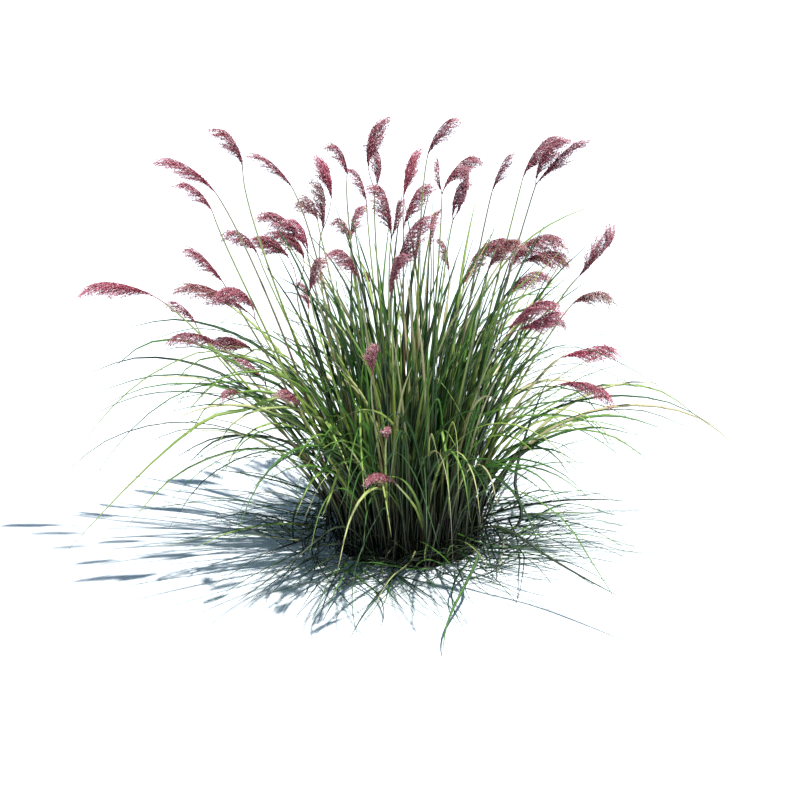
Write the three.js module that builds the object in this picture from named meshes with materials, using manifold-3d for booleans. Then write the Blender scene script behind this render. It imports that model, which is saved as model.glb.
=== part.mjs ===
// A clump of fountain grass, standing on its crown. Millimetres, +Z up, +X to the right as seen from the
// front, +Y away from the front. The origin is the middle of the crown's flat underside.
import * as THREE from 'three';
import { mergeVertices } from 'three/addons/utils/BufferGeometryUtils.js';
import Module from 'manifold-3d';

const wasm = await Module();
wasm.setup();

// Crown: a low pad of old stem bases. Seven hummocks of leaf bases stand on it, one for each leafy tuft.
const CROWN_RADIUS = 232;
const CROWN_HEIGHT = 24;
const HUMMOCK_RING = 150;
const HUMMOCK_RADIUS = 74;
const HUMMOCK_HEIGHT = 36;
const GAP = 0.3;

// Leaves: keeled blades, widest low down and drawn out to a point.
const BLADES_PER_TUFT = 28;
const KEEL_DEPTH = 1.7;
const ROOT_DEPTH = 12;
const MIN_CLEARANCE = 0.6;
const FOOT_CLEARANCE = 0.7;
const TRIES = 90;

// Culms: thin stems that carry the flower heads.
const CULM_FOOT_RADIUS = 2.8;
const CULM_TOP_RADIUS = 1.5;
const CULM_STOPS = [0, 0.33, 0.66, 0.95, 1];

// Flower heads: a slim axis with feathery branches that sweep forward and hang to one side.
const AXIS_RADIUS = 2.2;
const AXIS_SIDES = 4;
const AXIS_STEPS = 6;
const HEAD_CLEARANCE = 16;
const OUTWARD_LEAN = 0.22;

// Colours.
const CROWN_BROWN = 0x46301f;
const LEAF_GREENS = [0x4d7a2c, 0x5c8a33, 0x86963f];
const PLUME_ROSE = 0x9a4358;

// Places read from the front are given as a rise: the height of a point over the middle of the crown as
// seen from the front, 20 degrees above the ground. A point nearer the front really stands higher.
const VIEW_UP = THREE.MathUtils.degToRad(20);
const VIEW = new THREE.Vector3(0, -Math.cos(VIEW_UP), Math.sin(VIEW_UP));
const UP = new THREE.Vector3(0, 0, 1);
const standing = (x, y, rise) => new THREE.Vector3(x, y, rise - y * Math.tan(VIEW_UP));

// The flower heads. Each row: its culm, the culm's top (x, y, rise), the head's tip (x, rise), how far it
// bows to the left of its growth, how wide its feather spreads to the left, and its bare share.
const HEADS = [
  [1, -444, 60, 1072, -526, 1210, -22, 40, 0.06],
  [2, -509, -60, 997, -671, 1118, -18, 32, 0.08],
  [3, -518, -150, 938, -619, 1048, -15, 28, 0.08],
  [4, -405, 260, 830, -508, 915, -18, 38, 0.06],
  [5, -489, -230, 742, -592, 868, -3, 32, 0.05],
  [6, -651, 40, 691, -891, 750, -25, 38, 0.16],
  [7, -574, 190, 632, -658, 712, -12, 30, 0.05],
  [8, -407, -330, 645, -621, 758, -12, 42, 0.1],
  [8, -407, -330, 645, -521, 733, -34, 44, 0.1],
  [9, -300, 330, 740, -419, 914, -25, 44, 0.4],
  [9, -300, 330, 740, -389, 922, -54, 36, 0.3],
  [10, -268, -200, 834, -399, 965, -18, 40, 0.08],
  [10, -268, -200, 834, -319, 944, -12, 30, 0.06],
  [11, -308, 120, 1017, -432, 1138, -12, 26, 0.05],
  [12, -246, 380, 937, -311, 1000, -10, 32, 0.04],
  [12, -246, 380, 937, -288, 1020, -8, 26, 0.04],
  [13, -230, -110, 897, -233, 1050, -6, 38, 0.04],
  [13, -230, -110, 897, -225, 1120, -18, 34, 0.4],
  [14, -165, 230, 1054, -217, 1173, -14, 34, 0.05],
  [15, -112, 420, 977, -162, 1106, -10, 26, 0.05],
  [16, -90, 60, 1020, -95, 1161, -16, 36, 0.05],
  [16, -90, 60, 1020, -76, 1240, 32, -40, 0.26],
  [17, -45, -260, 870, -84, 1049, -10, 50, 0.05],
  [17, -45, -260, 870, -30, 1000, -4, -28, 0.05],
  [18, -157, 470, 871, -127, 1002, 10, -34, 0.05],
  [18, -157, 470, 871, -200, 959, -10, 32, 0.05],
  [19, -132, -400, 753, -205, 852, -12, 40, 0.05],
  [20, -260, -360, 715, -235, 836, 14, -40, 0.04],
  [21, -271, 440, 669, -297, 774, -8, 26, 0.05],
  [22, -103, 500, 756, -114, 793, 0, 20, 0.05],
  [23, -45, -430, 705, -11, 845, 16, -32, 0.05],
  [23, -45, -430, 705, 57, 965, 22, -58, 0.12],
  [24, -12, 150, 906, 54, 1056, 14, -46, 0.05],
  [24, -12, 150, 906, 10, 1146, 10, -34, 0.4],
  [25, 51, 0, 1106, 128, 1237, 14, -36, 0.06],
  [26, 92, 250, 1008, 88, 1119, 4, 24, 0.05],
  [26, 92, 250, 1008, 197, 1138, 16, -44, 0.06],
  [27, 119, -300, 925, 150, 1049, 8, -32, 0.05],
  [27, 119, -300, 925, 160, 1092, -20, 32, 0.08],
  [28, 62, 420, 853, 76, 983, 6, -24, 0.05],
  [29, 223, -140, 1004, 269, 1126, 0, -24, 0.05],
  [30, 308, 110, 1048, 408, 1194, 14, -44, 0.05],
  [31, 341, -90, 1028, 416, 1179, 18, -38, 0.05],
  [31, 341, -90, 1028, 469, 1171, 4, -28, 0.05],
  [32, 449, -170, 760, 570, 896, -6, 42, 0.06],
  [33, 150, 430, 740, 300, 903, 36, -52, 0.3],
  [33, 150, 430, 740, 203, 848, 6, -34, 0.12],
  [34, 211, -350, 774, 300, 883, 14, -42, 0.05],
  [35, 272, 200, 780, 325, 865, 12, -32, 0.06],
  [35, 272, 200, 780, 446, 892, 42, -60, 0.06],
  [35, 272, 200, 780, 450, 842, 20, -46, 0.2],
  [36, 260, 380, 704, 388, 801, 16, -42, 0.06],
  [37, 260, -380, 598, 399, 707, 16, -42, 0.06],
  [37, 260, -380, 598, 402, 682, -12, -36, 0.22],
  [38, 354, 330, 623, 437, 648, 6, -24, 0.05],
  [39, 429, -250, 678, 558, 714, 20, -34, 0.06],
  [40, 408, 130, 535, 578, 575, 8, -40, 0.06],
  [41, 389, -100, 455, 567, 416, 26, -34, 0.06],
  [42, -490, -60, 559, -659, 595, -26, 34, 0.06],
  [43, -385, 170, 458, -545, 606, -44, 38, 0.4],
  [43, -385, 170, 458, -486, 555, -12, 34, 0.06],
  [44, -449, -290, 434, -504, 437, -8, 28, 0.05],
  [45, -287, -440, 394, -346, 451, -8, 30, 0.05],
  [46, -96, -520, 486, -73, 580, 2, 34, 0.05],
  [47, -57, -560, 307, -45, 339, 0, 22, 0.05],
  [48, -32, -600, 180, -114, 203, -8, 26, 0.05],
  [49, 85, 520, 645, 93, 690, 0, 18, 0.05],
  [50, 113, 560, 784, 89, 902, -6, 26, 0.05],
];

// The leaves that stand out singly. Each row: width, the tip's y, then points (x, rise) from low to tip.
const LONE_BLADES = [
  [9, -250, [-250, 400], [-440, 388], [-618, 307], [-950, -52]],
  [7, 100, [-240, 230], [-430, 335], [-621, 348], [-813, 167]],
  [6, -90, [-248, 98], [-564, 126], [-930, 49]],
  [9, 80, [-292, 391], [-421, 492], [-645, 600], [-818, 488]],
  [5, 150, [-200, 380], [-500, 560], [-760, 440], [-930, 215]],
  [5, -120, [-180, 330], [-450, 470], [-700, 380], [-890, 120]],
  [9, 120, [60, 420], [197, 704], [335, 890], [537, 988]],
  [6, -60, [180, 420], [402, 690], [560, 690], [729, 560]],
  [7, 180, [120, 330], [330, 530], [500, 560], [745, 411]],
  [8, -140, [150, 340], [350, 500], [560, 490], [829, 256]],
  [6, 40, [140, 300], [340, 470], [510, 490], [737, 400]],
  [7, -60, [300, 400], [513, 485], [680, 320], [829, 24]],
  [5, 230, [250, 350], [475, 414], [645, 336]],
  [5, -230, [320, 310], [540, 350], [702, 250]],
  [9, 90, [150, 60], [300, 190], [480, 310], [699, 250]],
  [6, 310, [300, 330], [470, 330], [626, 210]],
  [7, -160, [150, 260], [297, 322], [456, 215], [626, -30]],
  [5, -300, [230, 390], [354, 428], [424, 290], [420, 200]],
  [8, -120, [305, 55], [289, 175], [320, 328], [389, 509]],
  [7, -800, [200, 170], [405, 86], [529, -118], [640, -282]],
  [6, -850, [-60, 120], [-150, -100], [-120, -300]],
  [8, -890, [190, 0], [150, -112], [100, -220], [95, -318]],
  [8, -420, [-140, 300], [-130, 400], [-125, 260], [-110, 80]],
  [7, -400, [-110, 270], [-120, 382], [-90, 350], [-50, 190]],
  [8, -430, [-150, 330], [-220, 360], [-190, 300], [-150, 190]],
  [8, -380, [-120, 210], [-175, 240], [-215, 120], [-240, 70]],
  [9, -400, [60, 250], [88, 330], [105, 220], [110, 80]],
  [9, -300, [-10, 380], [60, 490], [140, 380], [215, 190]],
  [6, -560, [230, 60], [420, -60], [580, -150]],
  [6, -640, [-180, 60], [-330, -60], [-500, -190]],
];

// A fixed run of draws between 0 and 1, so that the clump grows the same way each time.
let seed = 20413;
function draw(low = 0, high = 1) {
  seed = (seed * 48271) % 2147483647;
  return low + (high - low) * (seed / 2147483647);
}

// A closed solid from a three.js geometry: shared corners are merged and empty triangles dropped.
function closed(geometry) {
  geometry.deleteAttribute('normal');
  geometry.deleteAttribute('uv');
  const merged = mergeVertices(geometry, 1e-4);
  const corners = merged.index.array;
  const kept = [];
  for (let i = 0; i < corners.length; i += 3) {
    const [a, b, c] = [corners[i], corners[i + 1], corners[i + 2]];
    if (a !== b && b !== c && c !== a) kept.push(a, b, c);
  }
  merged.setIndex(kept);
  return merged;
}

function toSolid(geometry) {
  const merged = closed(geometry);
  const mesh = new wasm.Mesh({
    numProp: 3,
    vertProperties: new Float32Array(merged.attributes.position.array),
    triVerts: new Uint32Array(merged.index.array),
  });
  return new wasm.Manifold(mesh);
}

// Joins solids that grow from each other. A hollow that the join seals is filled.
function join(pieces) {
  const parts = pieces.reduce((whole, piece) => whole.add(piece)).decompose();
  return parts.reduce((main, part) => (part.volume() > main.volume() ? part : main));
}

function toGeometry(solid) {
  const mesh = solid.getMesh();
  const geometry = new THREE.BufferGeometry();
  geometry.setAttribute('position', new THREE.BufferAttribute(mesh.vertProperties, 3));
  geometry.setIndex(new THREE.BufferAttribute(mesh.triVerts, 1));
  return geometry;
}

// Moves the corners of a straight cone or cylinder onto a line. section(share along) gives the half width,
// the depth and the direction in which the width lies.
function bend(geometry, taperedToPoint, line, section) {
  const position = geometry.attributes.position;
  const steps = line.length - 1;
  for (let i = 0; i < position.count; i += 1) {
    const along = position.getY(i) + 0.5;
    const step = Math.round(along * steps);
    const shrink = taperedToPoint ? Math.max(1 - along, 1e-6) : 1;
    const ahead = line[Math.min(step + 1, steps)].clone().sub(line[Math.max(step - 1, 0)]).normalize();
    const { half, depth, across } = section(along);
    const side = across.clone().addScaledVector(ahead, -across.dot(ahead)).normalize();
    const over = side.clone().cross(ahead);
    const point = line[step].clone();
    point.addScaledVector(side, half * (position.getX(i) / shrink));
    point.addScaledVector(over, depth * (position.getZ(i) / shrink));
    position.setXYZ(i, point.x, point.y, point.z);
  }
  return geometry;
}

// The widths along a blade: narrow at the sheath, full from a quarter up, then drawn to the tip.
const bladeWidth = (along) => Math.min(1, 0.55 + 1.8 * along) * (1 - along ** 2.4);

function bladeGeometry(blade) {
  const steps = blade.line.length - 1;
  const cone = new THREE.ConeGeometry(1, 1, 3, steps);
  return bend(cone, true, blade.line, (along) => ({
    half: (blade.width / Math.sqrt(3)) * bladeWidth(along),
    depth: (KEEL_DEPTH / 1.5) * (1 - along ** 3),
    across: blade.across,
  }));
}

function culmGeometry(line) {
  const rod = new THREE.CylinderGeometry(1, 1, 1, 3, line.length - 1);
  return bend(rod, false, line, (along) => {
    const radius = THREE.MathUtils.lerp(CULM_FOOT_RADIUS, CULM_TOP_RADIUS, along);
    return { half: radius, depth: radius, across: new THREE.Vector3(1, 0, 0) };
  });
}

// How long and how widely spread the branches are along a head, from its foot to its tip.
const featherWidth = (along) => 0.5 + 0.5 * Math.sin(Math.PI * Math.min(1, along * 1.05) ** 0.85);
const featherReach = (along) => 0.36 - 0.16 * along - 0.14 * (1 - along) ** 8;

// Where a branch ends that follows the axis: a share further along it, and out from it by the spread. Past
// its tip the axis is carried straight on.
function followAxis(head, from, to, out, spread) {
  const [start, end] = [from, Math.min(to, 1)].map((along) => head.curve.getTangent(along));
  const turned = out.clone().applyQuaternion(new THREE.Quaternion().setFromUnitVectors(start, end));
  const past = Math.max(0, to - 1) * head.curve.getLength();
  return head.curve.getPoint(Math.min(to, 1)).addScaledVector(end, past).addScaledVector(turned, spread);
}

// One flower head: a thin tapering axis, with each of its side faces past the bare foot drawn out into a
// long pointed branch that leans forward, longest on the feather's side. Inside the bow the branches follow
// the axis, so that it doesn't pass through them.
function headGeometry(head) {
  const line = head.curve.getPoints(AXIS_STEPS);
  const cone = new THREE.ConeGeometry(1, 1, AXIS_SIDES, AXIS_STEPS);
  bend(cone, true, line, (along) => {
    const radius = AXIS_RADIUS * (1 - 0.55 * along);
    return { half: radius, depth: radius, across: head.feather };
  });
  const source = cone.index.array;
  const points = Array.from(cone.attributes.position.array);
  const corner = (row, side) => row * (AXIS_SIDES + 1) + side;
  const faces = Array.from(source.slice(cone.groups[1].start));
  const length = head.curve.getLength();
  const { v0, v1, v2 } = head.curve;
  const hollow = v0.clone().addScaledVector(v1, -2).add(v2).normalize();
  for (let side = 0; side < AXIS_SIDES; side += 1) {
    faces.push(corner(0, side), corner(1, side), corner(1, side + 1));
    for (let row = 1; row < AXIS_STEPS; row += 1) {
      const [a, d] = [corner(row, side), corner(row, side + 1)];
      const [b, c] = [corner(row + 1, side), corner(row + 1, side + 1)];
      const along = 1 - (row + 0.5) / AXIS_STEPS;
      if (along < head.bare) {
        faces.push(a, b, d, b, c, d);
        continue;
      }
      const share = (along - head.bare) / (1 - head.bare);
      const centre = new THREE.Vector3();
      for (const k of [a, b, c, d]) {
        centre.add(new THREE.Vector3(points[3 * k], points[3 * k + 1], points[3 * k + 2]).divideScalar(4));
      }
      const axis = line[AXIS_STEPS - row].clone().lerp(line[AXIS_STEPS - row - 1], 0.5);
      const ahead = head.curve.getTangent(along);
      const out = centre.clone().sub(axis);
      out.addScaledVector(ahead, -out.dot(ahead)).normalize();
      const facing = out.dot(head.feather);
      const spread = head.width * featherWidth(share) * (0.45 + 0.22 * facing);
      const reach = featherReach(share) * draw(0.93, 1.07);
      const isInside = out.dot(hollow) > -0.3;
      const straight = centre.addScaledVector(ahead, length * reach).addScaledVector(out, spread);
      const tip = isInside ? followAxis(head, along, along + reach, out, spread) : straight;
      const k = points.length / 3;
      points.push(tip.x, tip.y, tip.z);
      faces.push(a, b, k, b, c, k, c, d, k, d, a, k);
    }
  }
  const geometry = new THREE.BufferGeometry();
  geometry.setAttribute('position', new THREE.Float32BufferAttribute(points, 3));
  geometry.setIndex(faces);
  return geometry;
}

// Where a head's axis runs: a single bow from the culm's top to the tip. Heads at the front and back also
// arch over outwards.
function layHead([culm, x, y, rise, tipX, tipRise, bow, feather, bare]) {
  const foot = standing(x, y, rise);
  const tip = standing(tipX, y * (1 + OUTWARD_LEAN), tipRise);
  const chord = tip.clone().sub(foot);
  const ahead = chord.clone().normalize();
  const left = VIEW.clone().cross(ahead).normalize();
  const outward = new THREE.Vector3(x, y, 0).normalize();
  const arch = outward.clone().multiplyScalar(ahead.z).addScaledVector(UP, -outward.dot(ahead));
  const depthShare = Math.abs(outward.y);
  const middle = foot.clone().addScaledVector(chord, 0.5);
  middle.addScaledVector(left, 2 * bow).addScaledVector(arch, -0.12 * chord.length() * depthShare);
  const side = left.multiplyScalar(Math.sign(feather)).addScaledVector(arch, 0.8 * depthShare).normalize();
  const curve = new THREE.QuadraticBezierCurve3(foot, middle, tip);
  return { culm, foot, curve, feather: side, width: Math.abs(feather), bare };
}

// The seven hummocks: one in the middle and six round it.
const hummocks = [new THREE.Vector3(0, 0, 0)];
for (let k = 0; k < 6; k += 1) {
  const turn = (k * Math.PI) / 3;
  hummocks.push(new THREE.Vector3(HUMMOCK_RING * Math.cos(turn), HUMMOCK_RING * Math.sin(turn), 0));
}
const HUMMOCK_BASE = CROWN_HEIGHT + GAP;

function hummockGeometry(centre) {
  const profile = [[0, 0], [1, 0], [0.94, 0.35], [0.6, 0.85], [0, 1]];
  const points = profile.map(([r, z]) => new THREE.Vector2(r * HUMMOCK_RADIUS, z * HUMMOCK_HEIGHT));
  const dome = new THREE.LatheGeometry(points, 9);
  dome.rotateX(Math.PI / 2);
  dome.translate(centre.x, centre.y, HUMMOCK_BASE);
  return dome;
}

function crownGeometry() {
  const profile = [[0, 0], [0.96, 0], [1, 0.3], [0.985, 0.75], [0.94, 1], [0, 1]];
  const points = profile.map(([r, z]) => new THREE.Vector2(r * CROWN_RADIUS, z * CROWN_HEIGHT));
  const pad = new THREE.LatheGeometry(points, 20);
  pad.rotateX(Math.PI / 2);
  return pad;
}

// What already stands, so that the next leaf or culm is bent clear of it. Lines of one tuft may come closer
// at the foot, where they are fused.
const standingLines = [];
function boxRound(piece, radius) {
  return new THREE.Box3().setFromPoints([piece.start, piece.end]).expandByScalar(radius);
}

function claim(owner, line, radius) {
  for (let i = 1; i < line.length; i += 1) {
    const piece = new THREE.Line3(line[i - 1], line[i]);
    standingLines.push({ owner, radius, piece, box: boxRound(piece, radius), isFoot: i === 1 });
  }
}

function isClear(owner, line, radius, carried = null) {
  for (let i = 1; i < line.length; i += 1) {
    const piece = new THREE.Line3(line[i - 1], line[i]);
    const box = boxRound(piece, radius + MIN_CLEARANCE);
    for (const other of standingLines) {
      if (other.owner === carried || !other.box.intersectsBox(box)) continue;
      const share = other.owner === owner && (i === 1 || other.isFoot) ? FOOT_CLEARANCE : 1;
      const apart = Math.sqrt(piece.distanceSqToLine3(other.piece));
      if (apart < share * (radius + other.radius) + MIN_CLEARANCE) return false;
    }
    if (!clearOfHummocks(owner, line[i], radius)) return false;
  }
  return true;
}

function clearOfHummocks(owner, point, radius) {
  if (point.z > HUMMOCK_BASE + HUMMOCK_HEIGHT + radius) return true;
  return hummocks.every((centre, k) => k === owner
    || Math.hypot(point.x - centre.x, point.y - centre.y) > HUMMOCK_RADIUS + radius);
}

// The ground, raised by the crown and its hummocks, and how low a leaf may come over it.
function floorUnder(x, y) {
  const past = Math.hypot(x, y) - (CROWN_RADIUS + 8);
  return Math.max(3, HUMMOCK_BASE + 6 - Math.max(0, past) * 0.55);
}

function rest(line) {
  for (const point of line.slice(1)) point.z = Math.max(point.z, floorUnder(point.x, point.y));
  return line;
}

function nearestHummock(x, y) {
  const away = hummocks.map((centre) => Math.hypot(centre.x - x, centre.y - y));
  return away.indexOf(Math.min(...away));
}

// The point of a hummock's surface from which something that heads for (x, y) grows.
function rootOn(owner, x, y) {
  const local = new THREE.Vector2(x - hummocks[owner].x, y - hummocks[owner].y);
  local.clampLength(0, HUMMOCK_RADIUS * 0.72);
  const share = local.length() / HUMMOCK_RADIUS;
  const top = HUMMOCK_BASE + HUMMOCK_HEIGHT * (1 - 0.75 * share ** 2);
  return new THREE.Vector3(hummocks[owner].x + local.x, hummocks[owner].y + local.y, top - ROOT_DEPTH);
}

// A culm: up from its hummock and on to the head's foot, which it meets square on.
function layCulm(heads) {
  const foot = heads[0].foot;
  const ahead = new THREE.Vector3();
  for (const head of heads) ahead.add(head.curve.getTangent(0));
  ahead.normalize();
  const turned = Math.max(...heads.map((head) => head.curve.getTangent(0).angleTo(ahead)));
  const top = foot.clone().addScaledVector(ahead, -(GAP + AXIS_RADIUS * Math.sin(turned)));
  for (let turn = 0; turn < TRIES; turn += 1) {
    const spread = turn * 1.2;
    const x = foot.x * 0.36 + draw(-spread, spread);
    const y = foot.y * 0.36 + draw(-spread, spread);
    const owner = nearestHummock(x, y);
    const root = rootOn(owner, x, y);
    const reach = root.distanceTo(top);
    const low = root.clone().add(new THREE.Vector3(root.x * 0.1, root.y * 0.1, reach * 0.25));
    const high = top.clone().addScaledVector(ahead, -reach * 0.16);
    const curve = new THREE.CubicBezierCurve3(root, low, high, top);
    const line = CULM_STOPS.map((stop) => curve.getPoint(stop));
    if (isClear(owner, line, CULM_FOOT_RADIUS, `head ${heads[0].culm}`)) return { owner, line };
  }
  return null;
}

// A leaf that leans more and more along its length, from its own draws.
function layBlade(owner, kind) {
  const centre = hummocks[owner];
  const local = draw(0, 2 * Math.PI);
  const away = HUMMOCK_RADIUS * 0.68 * Math.sqrt(draw());
  const root = rootOn(owner, centre.x + away * Math.cos(local), centre.y + away * Math.sin(local));
  const facing = owner === 0 ? local : Math.atan2(root.y, root.x);
  const turn = facing + draw(-kind.fan, kind.fan);
  const length = draw(...kind.length);
  const first = draw(...kind.first);
  const last = draw(...kind.last);
  const sweep = draw(-0.35, 0.35);
  const line = [root];
  for (let k = 0; k < kind.steps; k += 1) {
    const share = (k + 0.5) / kind.steps;
    const lean = THREE.MathUtils.degToRad(first + (last - first) * share ** kind.power);
    const way = turn + sweep * share;
    const stride = new THREE.Vector3(Math.cos(way), Math.sin(way), 0).multiplyScalar(Math.sin(lean));
    stride.z = Math.cos(lean);
    line.push(line[k].clone().addScaledVector(stride, length / kind.steps));
  }
  const across = new THREE.Vector3(-Math.sin(turn), Math.cos(turn), 0);
  return { owner, line: rest(line), across, width: draw(...kind.width) };
}

// The three habits of the leaves: the lean from upright at the foot and at the tip in degrees, how late the
// lean grows, the length, the width, how far they fan out to each side in radians, and the steps.
const UPRIGHT = {
  first: [1, 12], last: [14, 60], power: 1.6, length: [480, 900], width: [7, 11], fan: 0.7, steps: 4,
};
const ARCHING = {
  first: [8, 26], last: [100, 150], power: 1.2, length: [600, 1080], width: [7, 11], fan: 0.55, steps: 5,
};
const LOW = {
  first: [52, 72], last: [92, 112], power: 0.8, length: [320, 640], width: [4, 6], fan: 0.6, steps: 4,
};
const MIDDLE_MIX = [UPRIGHT, UPRIGHT, UPRIGHT, ARCHING];
const OUTER_MIX = [UPRIGHT, ARCHING, UPRIGHT, ARCHING, LOW];

function layClear(owner, kind) {
  for (let turn = 0; turn < TRIES; turn += 1) {
    const blade = layBlade(owner, kind);
    if (isClear(owner, blade.line, blade.width / 2)) return blade;
  }
  return null;
}

// A leaf that the photograph shows by itself, through the points of its row.
function layLone([width, y, ...points]) {
  const [tipX] = points.at(-1);
  for (let turn = 0; turn < TRIES; turn += 1) {
    const tipY = y + 2.5 * draw(-turn, turn);
    const owner = nearestHummock(points[0][0] * 0.7, tipY * 0.3);
    const root = rootOn(owner, points[0][0] * 0.6, tipY * 0.25 + draw(-turn, turn));
    const depth = (k) => root.y + (tipY - root.y) * ((k + 1) / points.length);
    const through = points.map(([x, rise], k) => standing(x, depth(k), rise));
    const curve = new THREE.CatmullRomCurve3([root, ...through], false, 'catmullrom', 0.5);
    const line = rest(curve.getPoints(points.length + 2));
    const across = new THREE.Vector3(-(tipY - root.y), tipX - root.x, 0).normalize();
    if (isClear(owner, line, width / 2)) return { owner, line, across, width };
  }
  return null;
}

const heads = HEADS.map(layHead);
const culmCount = Math.max(...heads.map((head) => head.culm));
const headsOf = (culm) => heads.filter((head) => head.culm === culm);
for (const head of heads) {
  claim(`head ${head.culm}`, head.curve.getPoints(AXIS_STEPS), HEAD_CLEARANCE);
}

// The solids that each tuft is made of: its hummock, its culms and its leaves.
const growth = hummocks.map((centre) => [toSolid(hummockGeometry(centre))]);
for (let culm = 1; culm <= culmCount; culm += 1) {
  const { owner, line } = layCulm(headsOf(culm));
  claim(owner, line, CULM_FOOT_RADIUS);
  growth[owner].push(toSolid(culmGeometry(line)));
}
function growBlade(blade) {
  claim(blade.owner, blade.line, blade.width / 2);
  growth[blade.owner].push(toSolid(bladeGeometry(blade)));
}
for (const row of LONE_BLADES) growBlade(layLone(row));
for (let k = 0; k < BLADES_PER_TUFT; k += 1) {
  hummocks.forEach((centre, owner) => {
    const mix = owner === 0 ? MIDDLE_MIX : OUTER_MIX;
    const blade = layClear(owner, mix[k % mix.length]);
    if (blade) growBlade(blade);
  });
}

const group = new THREE.Group();
function addMesh(name, geometry, color, roughness) {
  const material = new THREE.MeshStandardMaterial({ color, roughness, metalness: 0 });
  const mesh = new THREE.Mesh(geometry, material);
  mesh.name = name;
  group.add(mesh);
}
const numbered = (name, k) => `${name}_${String(k).padStart(2, '0')}`;

addMesh('crown', closed(crownGeometry()), CROWN_BROWN, 0.95);
growth.forEach((pieces, k) => {
  addMesh(numbered('tuft', k + 1), toGeometry(join(pieces)), LEAF_GREENS[k % LEAF_GREENS.length], 0.6);
});
for (let culm = 1; culm <= culmCount; culm += 1) {
  const shapes = headsOf(culm).map(headGeometry);
  const whole = shapes.length === 1 ? closed(shapes[0]) : toGeometry(join(shapes.map(toSolid)));
  addMesh(numbered('plume', culm), whole, PLUME_ROSE, 0.8);
}

export default group;
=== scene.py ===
"""A clump of fountain grass on a pale floor: rose plumes on thin culms over arching green leaves."""

import math

import bmesh
import bpy
import numpy as np
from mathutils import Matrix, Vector


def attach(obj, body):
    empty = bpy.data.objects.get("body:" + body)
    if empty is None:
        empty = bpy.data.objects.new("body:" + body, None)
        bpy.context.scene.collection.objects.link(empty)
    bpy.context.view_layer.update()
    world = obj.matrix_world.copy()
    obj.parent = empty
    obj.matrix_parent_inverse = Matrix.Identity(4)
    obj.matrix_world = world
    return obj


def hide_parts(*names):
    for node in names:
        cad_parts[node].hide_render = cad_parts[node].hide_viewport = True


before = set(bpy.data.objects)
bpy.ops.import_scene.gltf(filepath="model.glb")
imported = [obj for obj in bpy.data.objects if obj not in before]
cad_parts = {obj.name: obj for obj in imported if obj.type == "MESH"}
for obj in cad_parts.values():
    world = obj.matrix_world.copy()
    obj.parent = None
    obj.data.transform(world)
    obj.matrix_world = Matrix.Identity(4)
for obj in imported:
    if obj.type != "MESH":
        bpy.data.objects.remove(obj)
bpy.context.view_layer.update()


# Flower heads: feathery rose panicles, one to three on a culm. Each has a slim tapering axis that bows to one
# side and curls over at its tip. Silky strands leave it a little at a time, and carry small husks on short
# stalks with pale hairs between them. Places are in millimetres until a mesh is made.
MM = 0.001
VIEW_UP = math.radians(20)
VIEW = np.array([0.0, -math.cos(VIEW_UP), math.sin(VIEW_UP)])
UP = np.array([0.0, 0.0, 1.0])
OUTWARD_LEAN = 0.22
OUTWARD_ARCH = 0.12
HEAD_CLEARANCE = 16
AXIS_STEPS = 6
AXIS_RADIUS = 1.5
AXIS_END = 0.94
HOOK_START = 0.66
HOOK_REACH = 0.5
AREA_PER_STRAND = 58
STRAND_COUNT = (44, 150)
LAST_STRAND = 0.82
STRAND_REACH = (0.14, 0.42)
STRAND_SAG = 0.06
STRAND_SPREAD = 1.12
HUSK_SPACING = 5.9
HUSK_LENGTH = (5.0, 7.6)
HUSK_WIDTH = (2.1, 3.1)
STALK_LENGTH = (1.5, 6.5)
STALK_WIDTH = 0.6
HAIR_LENGTH = (8, 14)
HAIR_WIDTH = 0.7
HAIR_SHARE = 0.25

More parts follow.
